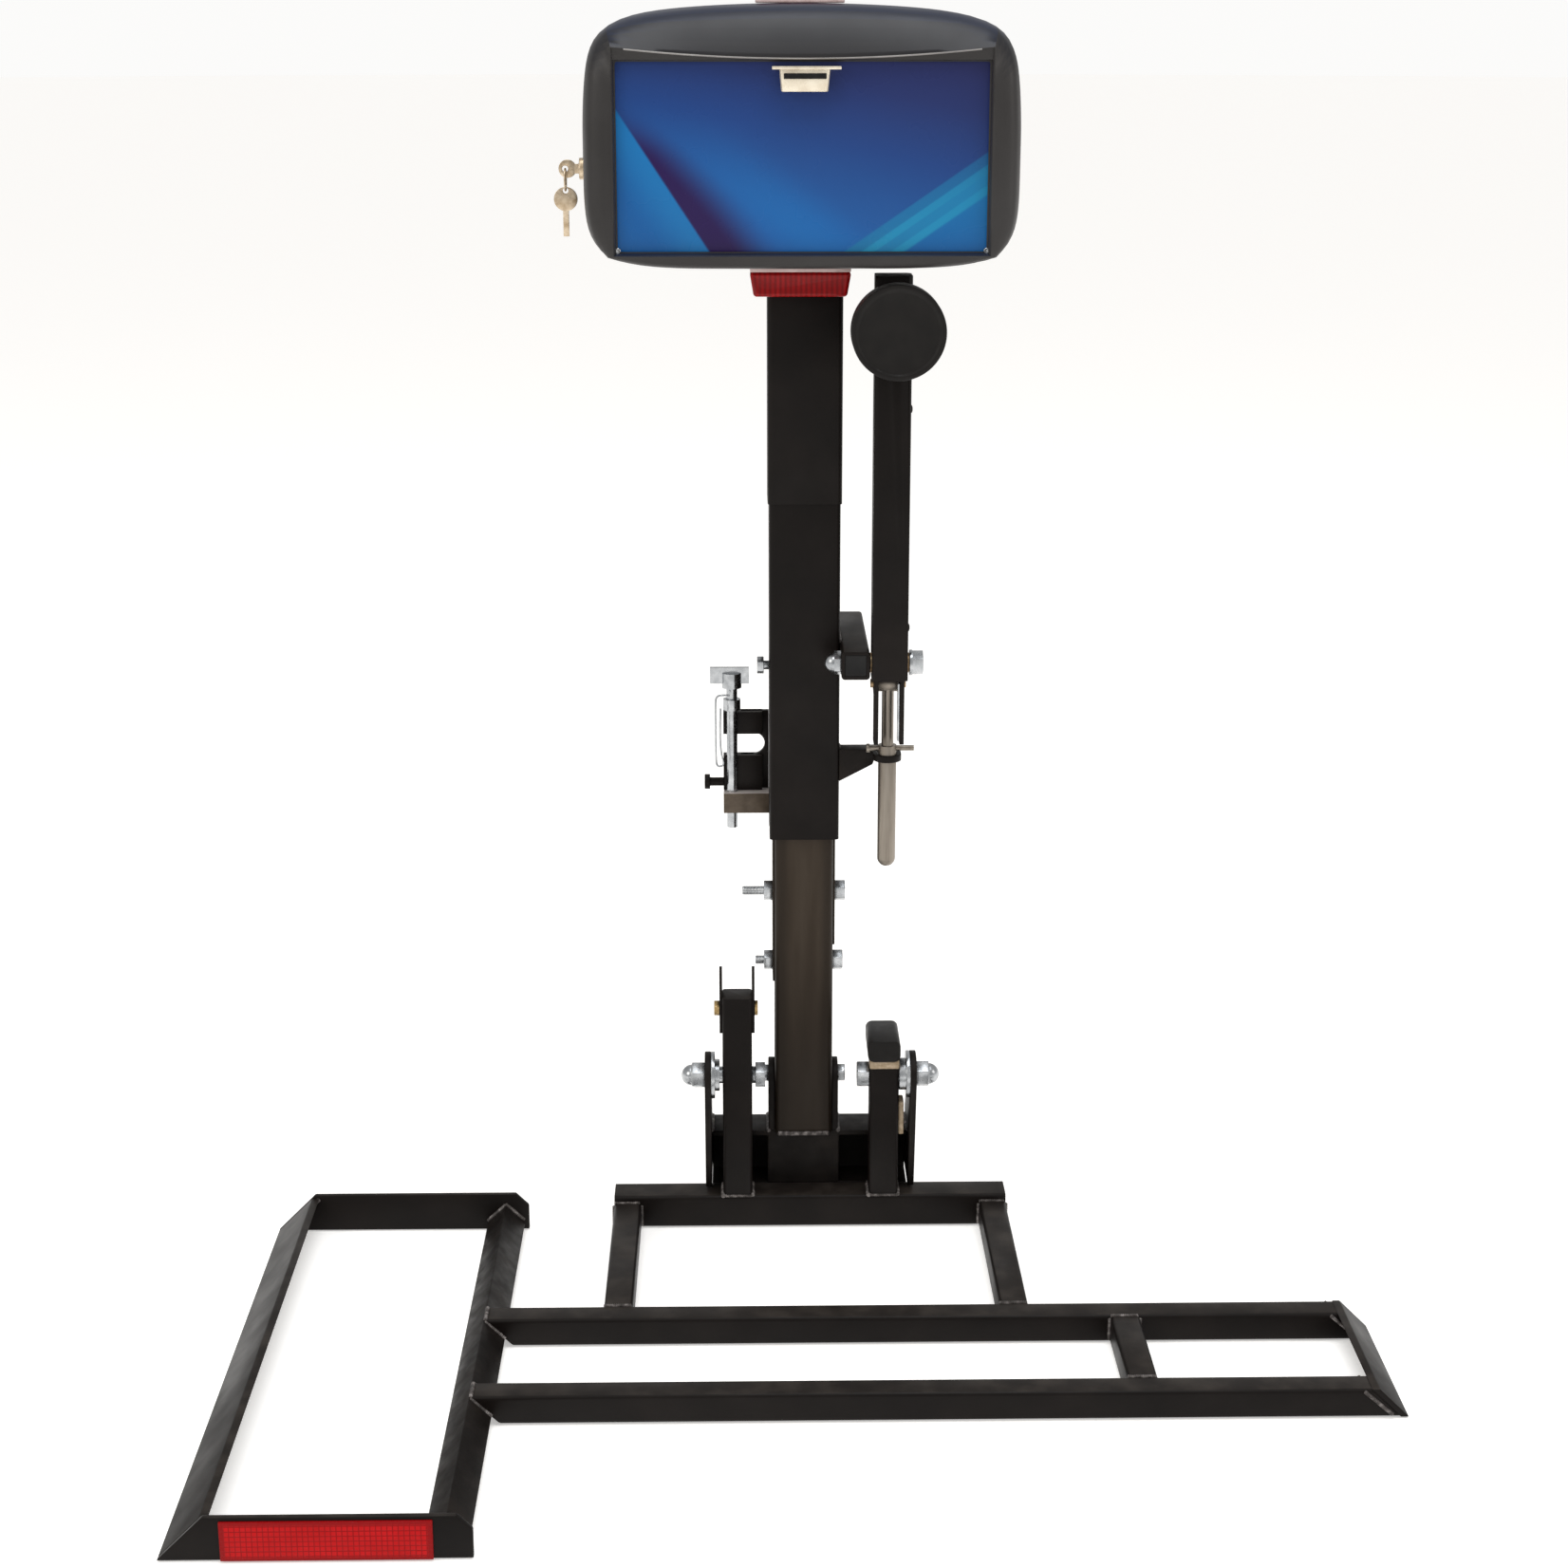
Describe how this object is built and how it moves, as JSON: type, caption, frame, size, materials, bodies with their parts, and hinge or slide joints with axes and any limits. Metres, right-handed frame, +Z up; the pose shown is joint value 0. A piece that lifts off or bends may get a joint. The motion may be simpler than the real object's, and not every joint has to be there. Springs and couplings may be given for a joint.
{
  "type": "scooter lift",
  "caption": "Hitch-mounted exterior lift: telescoping mast with a sign-and-light head, fold-up wheel platform and hold-down arm for carrying a mobility scooter behind a car.",
  "frame": {"origin": "centre of the hitch pin hole in the hitch bar", "axes": "+X to the right seen from behind the car, +Y towards the car, +Z up"},
  "size_m": [0.9872, 0.9333, 1.1356],
  "materials": {
    "black_paint": "semi-gloss powder coat",
    "charcoal_plastic": "satin moulded",
    "dark_steel": "dull, oily",
    "bare_steel": "greasy bare steel",
    "zinc": "bright zinc plate",
    "bright_rod": "ground rod",
    "bronze": "plain bearing bronze",
    "rubber": "moulded rubber",
    "red_lens": "moulded lens",
    "reflector_red": "prismatic sheet",
    "sign_blue": "printed sheet",
    "lamp_nickel": "nickel plate",
    "key_nickel": "nickel silver",
    "nylon": "natural nylon",
    "drive_metal": "cast housing",
    "black_plastic": "moulded",
    "tan_felt": "tan fibre strip"
  },
  "bodies": {
    "mast": {"hitch_bar": "black_paint", "outer_mast": "black_paint", "mast_sleeve": "black_paint", "guide_liners": "nylon", "head_frame": "dark_steel", "thrust_bearing": "zinc", "gearbox": "drive_metal", "motor": "black_plastic", "control_box": "black_plastic", "rear_cover": "charcoal_plastic", "front_cover": "charcoal_plastic", "sign_plate": "sign_blue", "plate_lamp": "lamp_nickel", "upper_light": "red_lens", "lower_light": "red_lens", "lock_barrel": "key_nickel", "power_inlet": "black_plastic", "arm_bracket": "black_paint", "arm_pivot_bolt": "zinc", "guide_bracket": "dark_steel", "clamp_bracket": "black_paint", "clamp_bar": "bronze", "side_bolts": "zinc"},
    "lead_screw": {"lead_screw": "zinc", "shaft_coupling": "drive_metal"},
    "carriage": {"inner_mast": "bare_steel", "wear_straps": "bare_steel", "nut_plug": "dark_steel", "drive_nut": "bronze", "cross_bolts": "zinc", "foot_plates": "dark_steel", "base_channel": "dark_steel", "base_ears": "dark_steel", "pivot_bolts": "zinc", "pivot_washers": "zinc"},
    "platform": {"left_upright": "black_paint", "prong_plates": "dark_steel", "prong_bolt": "bronze", "right_upright": "black_paint", "lift_pad": "rubber", "pad_strips": "tan_felt", "cross_tube": "black_paint", "legs": "black_paint", "rear_rail": "black_paint", "front_rail": "black_paint", "crossbar": "black_paint", "end_ramp": "black_paint", "pan_bars": "black_paint", "pan_ramp": "black_paint", "ridge": "bare_steel", "reflector": "reflector_red"},
    "hold_down_arm": {"arm_tube": "black_paint", "arm_cheeks": "dark_steel", "arm_bush": "bronze", "pad_stem": "zinc"},
    "pad": {"pad": "rubber"},
    "push_rod": {"push_rod": "bright_rod"},
    "clamp_screw": {"clamp_screw": "zinc"},
    "key": {"key": "key_nickel"},
    "spare_key": {"spare_key": "key_nickel"}
  },
  "joints": [
    {"name": "lift_slide", "type": "slide", "parent": "mast", "child": "carriage", "axis": [0, 0, 1], "range_m": [0, 0.205]},
    {"name": "screw_spin", "type": "hinge", "parent": "mast", "child": "lead_screw", "pos_m": [0, -0.26175, 0.25], "axis": [0, 0, 1], "range_deg": [0, 7400]},
    {"name": "platform_fold", "type": "hinge", "parent": "carriage", "child": "platform", "pos_m": [0, -0.30175, -0.3], "axis": [-1, 0, 0], "range_deg": [0, 90]},
    {"name": "arm_swing", "type": "hinge", "parent": "mast", "child": "hold_down_arm", "pos_m": [0.07475, -0.31875, 0.102], "axis": [1, 0, 0], "range_deg": [0, 95]},
    {"name": "rod_hinge", "type": "hinge", "parent": "hold_down_arm", "child": "push_rod", "pos_m": [0.07475, -0.30475, 0.0795], "axis": [1, 0, 0], "range_deg": [-95, 0]},
    {"name": "pad_spin", "type": "hinge", "parent": "hold_down_arm", "child": "pad", "pos_m": [0.07625, -0.36175, 0.401], "axis": [0, -1, 0], "continuous": true},
    {"name": "clamp_turn", "type": "hinge", "parent": "mast", "child": "clamp_screw", "pos_m": [-0.066, -0.22975, 0], "axis": [0, 0, 1], "continuous": true},
    {"name": "key_turn", "type": "hinge", "parent": "mast", "child": "key", "pos_m": [-0.1874, -0.32175, 0.5317], "axis": [1, 0, 0], "range_deg": [0, 90]},
    {"name": "spare_key_swing", "type": "hinge", "parent": "key", "child": "spare_key", "pos_m": [-0.2034, -0.32175, 0.5317], "axis": [1, 0, 0], "range_deg": [-20, 20]}
  ],
  "couplings": [
    {"joint": "screw_spin", "follows": "lift_slide", "rad_per_m": 628.32},
    {"joint": "arm_swing", "follows": "lift_slide", "rad_per_m": 8.08},
    {"joint": "rod_hinge", "follows": "lift_slide", "rad_per_m": -8.08}
  ]
}
